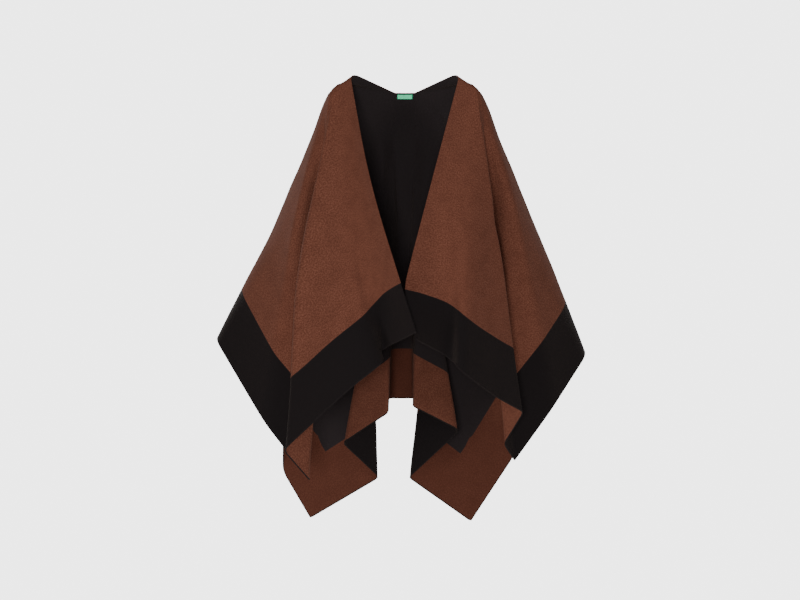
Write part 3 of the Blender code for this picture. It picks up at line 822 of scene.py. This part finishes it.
# painted shade: the inner face's brown darkens in the back corners and near the centre line
CORNER_PAINTED_SHADE_ASIDE = (0.36, 0.46)      # metres from the centre line over which a back corner darkens
CORNER_PAINTED_SHADE_LOW = (-0.40, -0.55)      # and metres below the slit's end
CORNER_PAINTED_SHADE = 0.60
PLEAT_PAINTED_SHADE_ASIDE = (0.11, 0.05)    # metres from the centre line over which the centre pleat darkens
PLEAT_PAINTED_SHADE = 0.70
BROWN_ROUGH = 0.95
BLACK_ROUGH = 0.85
SHEEN = 0.05
SHEEN_TINT = (0.85, 0.62, 0.52)     # the fuzz catches the light in the yarn's own warm colour
SHEEN_ROUGH = 0.45
GLOSS = 0.05
FLECK_SHARE = 0.42            # how strongly the flecks show in the brown
CLOUD_RANGE = (0.35, 0.75)    # and the broad darker clouds
CLOUD_SHARE = 0.22
FUZZ_SHARES = (1.0, 0.25)     # height of the fuzz on the brown and on the black yarn
STITCH_SHARES = (0.30, 0.60)  # and of the stitches
KNIT_BUMP = 0.6
KNIT_HEIGHT = 0.0006          # metres
print("brown yarn", BROWN_MAIN, "black yarn", BLACK_MAIN)

# %% Face materials


def place_group(tree, group, **values):
    node = tree.nodes.new("ShaderNodeGroup")
    node.node_tree = group
    for name, value in values.items():
        link_value(tree, node, name.replace("_", " "), value)
    return node.outputs


def scaled(colour, share):
    return tuple(share * part for part in colour)


def inner_painted_shade(tree, cut):
    """Share of painted shade inside the two back corners, the centre pleat and the band by the slit."""
    parts = tree.nodes.new("ShaderNodeSeparateXYZ")
    tree.links.new(cut, parts.inputs[0])
    away = math_node(tree, "ABSOLUTE", parts.outputs[0])
    low = map_range(tree, parts.outputs[1], *CORNER_PAINTED_SHADE_LOW, 0.0, CORNER_PAINTED_SHADE)
    corner = math_node(tree, "MULTIPLY", map_range(tree, away, *CORNER_PAINTED_SHADE_ASIDE), low)
    return math_node(tree, "MAXIMUM", corner, map_range(tree, away, *PLEAT_PAINTED_SHADE_ASIDE, 0.0, PLEAT_PAINTED_SHADE))


def face_material(name, band_is_black):
    material = bpy.data.materials.new(name)
    material.use_nodes = True
    tree = material.node_tree
    shader = tree.nodes["Principled BSDF"]
    uv = tree.nodes.new("ShaderNodeUVMap")
    uv.uv_map = "cut"
    cut = uv.outputs["UV"]
    border = place_group(tree, BAND_GROUP, Cut=cut)
    band, edge = border["Band"], border["Edge"]
    knit = place_group(tree, KNIT_GROUP, Cut=cut, Stitch=STITCH)
    flecked = mix_colour(tree, knit["Fleck"], BROWN_DEEP, BROWN_PALE)
    brown = mix_colour(tree, FLECK_SHARE, BROWN_MAIN, flecked)
    cloud = map_range(tree, knit["Cloud"], *CLOUD_RANGE, 0.0, CLOUD_SHARE)
    brown = mix_colour(tree, cloud, brown, BROWN_DEEP)
    if not band_is_black:
        # painted shade: the brown darkens towards the deep brown where the mask is high
        brown = mix_colour(tree, inner_painted_shade(tree, cut), brown, BROWN_DEEP)
    # painted light: the inner face's black is a lighter copy of the outer face's black
    depth = BLACK_OUTSIDE_SHARE if band_is_black else BLACK_INSIDE_PAINTED_LIGHT
    # painted shade in the gaps between the stitches
    black = mix_colour(tree, knit["Stitch Height"], scaled(BLACK_GAP_PAINTED_SHADE, depth), scaled(BLACK_MAIN, depth))
    to_black = band if band_is_black else math_node(
        tree, "MAXIMUM", math_node(tree, "SUBTRACT", 1.0, band), edge)
    # the closed edge: a black line on the inner band, and a painted highlight on the outer black
    black = mix_colour(tree, edge, black, RIM_BLACK_AND_HIGHLIGHT)
    colour = mix_colour(tree, to_black, brown, black)
    tree.links.new(colour, shader.inputs["Base Color"])
    rough = map_range(tree, to_black, 0.0, 1.0, BROWN_ROUGH, BLACK_ROUGH)
    tree.links.new(rough, shader.inputs["Roughness"])
    fuzz = math_node(tree, "MULTIPLY", knit["Fuzz"], map_range(tree, to_black, 0.0, 1.0, *FUZZ_SHARES))
    stitch = math_node(tree, "MULTIPLY", knit["Stitch Height"],
                       map_range(tree, to_black, 0.0, 1.0, *STITCH_SHARES))
    bump = tree.nodes.new("ShaderNodeBump")
    bump.inputs["Strength"].default_value = KNIT_BUMP
    bump.inputs["Distance"].default_value = KNIT_HEIGHT
    tree.links.new(math_node(tree, "ADD", fuzz, stitch), bump.inputs["Height"])
    tree.links.new(bump.outputs["Normal"], shader.inputs["Normal"])
    shader.inputs["Sheen Weight"].default_value = SHEEN
    shader.inputs["Sheen Roughness"].default_value = SHEEN_ROUGH
    shader.inputs["Sheen Tint"].default_value = (*SHEEN_TINT, 1.0)
    shader.inputs["Specular IOR Level"].default_value = GLOSS
    return material


CLOTH.data.materials.append(face_material("knit_outer_face", True))
CLOTH.data.materials.append(face_material("knit_inner_face", False))
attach(CLOTH, "root")
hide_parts("back_middle", "back_right", "back_left", "back_pleat_right", "back_pleat_left",
            "front_right", "front_left")
print("cloth finished", [m.name for m in CLOTH.data.materials])

# %% [markdown]
# ## The neck label
#
# A small satin label is sewn inside the back neck by its two short ends.  It is left bare.  It
# starts as a flat strip of its real size, is subdivided in edit mode, and is then laid on the
# cloth's inner face point by point, so that it follows the curve of the neck.

# %% Label strip
LABEL_WIDE = 0.036
LABEL_TALL = 0.011
LABEL_THICK = 0.0006
LABEL_DROP = 0.0035      # back neck edge to the label's top edge
LABEL_CLEAR = 0.0003     # air between the label and the cloth
LABEL_REACH = 0.05       # how far round the neck a label point is searched
LABEL_SAMPLES = 201      # in this many steps
LABEL_CUTS = 15          # cuts each way, so that the strip can bend
SIDE_STEP = 0.004        # steps along the edge, and down as a share, that give the cloth's normal
DOWN_STEP = 0.003


def neck_place(x, drop):
    """Point on the cloth x from the centre line and drop below the neck edge, and its normal."""
    span = np.linspace(HALF_EDGE - LABEL_REACH, HALF_EDGE + LABEL_REACH, LABEL_SAMPLES)
    share = np.full(len(span), drop / BACK_DROP)
    places = cloth_places(span, share)
    s = np.interp(x, places[:, 2], span)
    around = np.array([s, s - SIDE_STEP, s + SIDE_STEP, s, s])
    down = drop / BACK_DROP + np.array([0.0, 0.0, 0.0, -DOWN_STEP, DOWN_STEP])
    here, left, right, high, low = cloth_places(around, down)[:, 2:]
    normal = np.cross(right - left, low - high)
    return here, normal / np.linalg.norm(normal)


def lay_inside_neck(piece, centre_x, lift):
    """Bend a flat strip, x across and z down from its top edge, on to the inner face."""
    for vertex in piece.data.vertices:
        here, normal = neck_place(centre_x + vertex.co.x, LABEL_DROP - vertex.co.z)
        vertex.co = Vector(here - normal * (lift + vertex.co.y))


def add_label():
    bpy.ops.object.select_all(action="DESELECT")
    bpy.ops.mesh.primitive_plane_add(size=1.0, rotation=(math.radians(90.0), 0.0, 0.0),
                                     location=(0.0, 0.0, -LABEL_TALL / 2.0))
    strip = bpy.context.object
    strip.name = "neck_label_satin"
    strip.scale = (LABEL_WIDE, LABEL_TALL, 1.0)
    bpy.ops.object.transform_apply(location=True, rotation=True, scale=True)
    bpy.ops.object.mode_set(mode="EDIT")
    bpy.ops.mesh.subdivide(number_cuts=LABEL_CUTS)
    bpy.ops.object.mode_set(mode="OBJECT")
    lay_inside_neck(strip, 0.0, WALL / 2.0 + LABEL_CLEAR + LABEL_THICK / 2.0)
    wall = strip.modifiers.new("thickness", "SOLIDIFY")
    wall.thickness = LABEL_THICK
    wall.offset = 0.0
    bpy.ops.object.modifier_apply(modifier=wall.name)
    strip.data.shade_smooth()
    return strip


LABEL = add_label()
print(LABEL.name, len(LABEL.data.polygons), "faces")

# %% [markdown]
# ### Stitches
#
# A few short threads hold each end of the label.  Each one starts as a thin cylinder, is
# subdivided in edit mode and arched, and is then laid on the cloth as the label is.

# %% Label stitches
STITCHES = 5             # stitches down each short end
STITCH_LONG = 0.0022
STITCH_THICK = 0.0004
STITCH_INSET = 0.0011    # middle of the stitches from the label's end
STITCH_SIDES = 8
STITCH_CUTS = 3
STITCH_RISE = 0.9        # height of the arch, in label thicknesses


def add_stitches():
    """Short threads over both ends of the label, each a bent bar with its tips in the cloth."""
    bars = []
    for end in (-1.0, 1.0):
        for number in range(STITCHES):
            bpy.ops.object.select_all(action="DESELECT")
            drop = LABEL_TALL * (number + 0.5) / STITCHES
            bpy.ops.mesh.primitive_cylinder_add(
                vertices=STITCH_SIDES, radius=STITCH_THICK / 2.0, depth=STITCH_LONG,
                rotation=(0.0, math.radians(90.0), 0.0), location=(0.0, 0.0, -drop))
            bar = bpy.context.object
            bpy.ops.object.transform_apply(location=True, rotation=True, scale=True)
            bpy.ops.object.mode_set(mode="EDIT")
            bpy.ops.mesh.subdivide(number_cuts=STITCH_CUTS)
            bpy.ops.object.mode_set(mode="OBJECT")
            for vertex in bar.data.vertices:
                arch = 1.0 - (2.0 * vertex.co.x / STITCH_LONG) ** 2
                vertex.co.y += arch * LABEL_THICK * STITCH_RISE
            lay_inside_neck(bar, end * (LABEL_WIDE / 2.0 - STITCH_INSET), WALL / 2.0 + LABEL_THICK / 2.0)
            bars.append(bar)
    bpy.ops.object.select_all(action="DESELECT")
    for bar in bars:
        bar.select_set(True)
    bpy.context.view_layer.objects.active = bars[0]
    bpy.ops.object.join()
    threads = bpy.context.object
    threads.name = "neck_label_stitches"
    threads.data.name = "neck_label_stitches"
    threads.data.shade_smooth()
    return threads


THREADS = add_stitches()
print(THREADS.name, len(THREADS.data.polygons), "faces")

# %% [markdown]
# ### Satin and thread
#
# Satin shines because its threads float over the weave, so the label gets fine ribs and a green
# highlight.  Painted shade darkens the gaps between the ribs and the turn at each end.  The sewing
# thread is dull and darker, with a fine twist.

# %% Label finishes
LABEL_GREEN = (0.12, 0.95, 0.48)
# darker green: painted shade on the label, and the darker strands of the thread's twist
LABEL_PAINTED_SHADE_AND_TWIST = (0.05, 0.70, 0.33)
SATIN_TINT = (0.24, 0.98, 0.55)     # the floating threads throw back their own green
THREAD_GREEN = (0.03, 0.28, 0.16)
SATIN_RIB = 0.00045      # one rib of the satin weave
RIB_EDGE = (0.5, 0.1)    # from the gap between ribs to the top of one
SATIN_FLAT_ROUGH = 0.45  # roughness before the ribs are drawn in it
SATIN_ROUGH = (0.55, 0.38)      # roughness in the gaps and on the ribs
SATIN_BUMP = 0.4
SATIN_HEIGHT = 0.0001    # metres
FLOAT_NOISE = (1400.0, 2.0, 0.6)      # scale, detail and roughness of the float ends
TURN_WIDE = (0.0022, 0.0008)    # metres from the label's end over which its turn darkens
TURN_SHADE = 0.8
THREAD_ROUGH = 0.6
THREAD_TWIST = 2600.0


def satin_material():
    material = plain_material("neck_label_weave", LABEL_GREEN, SATIN_FLAT_ROUGH)
    tree = material.node_tree
    shader = tree.nodes["Principled BSDF"]
    place = tree.nodes.new("ShaderNodeTexCoord").outputs["Object"]
    parts = tree.nodes.new("ShaderNodeSeparateXYZ")
    tree.links.new(place, parts.inputs[0])
    rib = math_node(tree, "FRACT", math_node(tree, "DIVIDE", parts.outputs[2], SATIN_RIB))
    rib = math_node(tree, "ABSOLUTE", math_node(tree, "SUBTRACT", rib, 0.5))
    rib = map_range(tree, rib, *RIB_EDGE)
    float_ends = noise_value(tree, place, *FLOAT_NOISE)
    ends = map_range(tree, math_node(tree, "ABSOLUTE", parts.outputs[0]),
                     LABEL_WIDE / 2.0 - TURN_WIDE[0], LABEL_WIDE / 2.0 - TURN_WIDE[1])
    # painted shade: darker in the gaps between ribs, varied by noise, and at the turn of each end
    shade = math_node(tree, "MULTIPLY", float_ends, math_node(tree, "SUBTRACT", 1.0, rib))
    shade = math_node(tree, "MAXIMUM", shade, math_node(tree, "MULTIPLY", ends, TURN_SHADE))
    tree.links.new(mix_colour(tree, shade, LABEL_GREEN, LABEL_PAINTED_SHADE_AND_TWIST), shader.inputs["Base Color"])
    tree.links.new(map_range(tree, rib, 0.0, 1.0, *SATIN_ROUGH), shader.inputs["Roughness"])
    bump = tree.nodes.new("ShaderNodeBump")
    bump.inputs["Strength"].default_value = SATIN_BUMP
    bump.inputs["Distance"].default_value = SATIN_HEIGHT
    tree.links.new(rib, bump.inputs["Height"])
    tree.links.new(bump.outputs["Normal"], shader.inputs["Normal"])
    shader.inputs["Specular Tint"].default_value = (*SATIN_TINT, 1.0)
    return material


def thread_material():
    material = plain_material("label_thread", THREAD_GREEN, THREAD_ROUGH)
    tree = material.node_tree
    shader = tree.nodes["Principled BSDF"]
    place = tree.nodes.new("ShaderNodeTexCoord").outputs["Object"]
    twist = noise_value(tree, place, THREAD_TWIST)
    tree.links.new(mix_colour(tree, twist, THREAD_GREEN, LABEL_PAINTED_SHADE_AND_TWIST), shader.inputs["Base Color"])
    return material


LABEL.data.materials.append(satin_material())
THREADS.data.materials.append(thread_material())
for piece in (LABEL, THREADS):
    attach(piece, "root")
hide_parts("neck_label")
print("label finished")
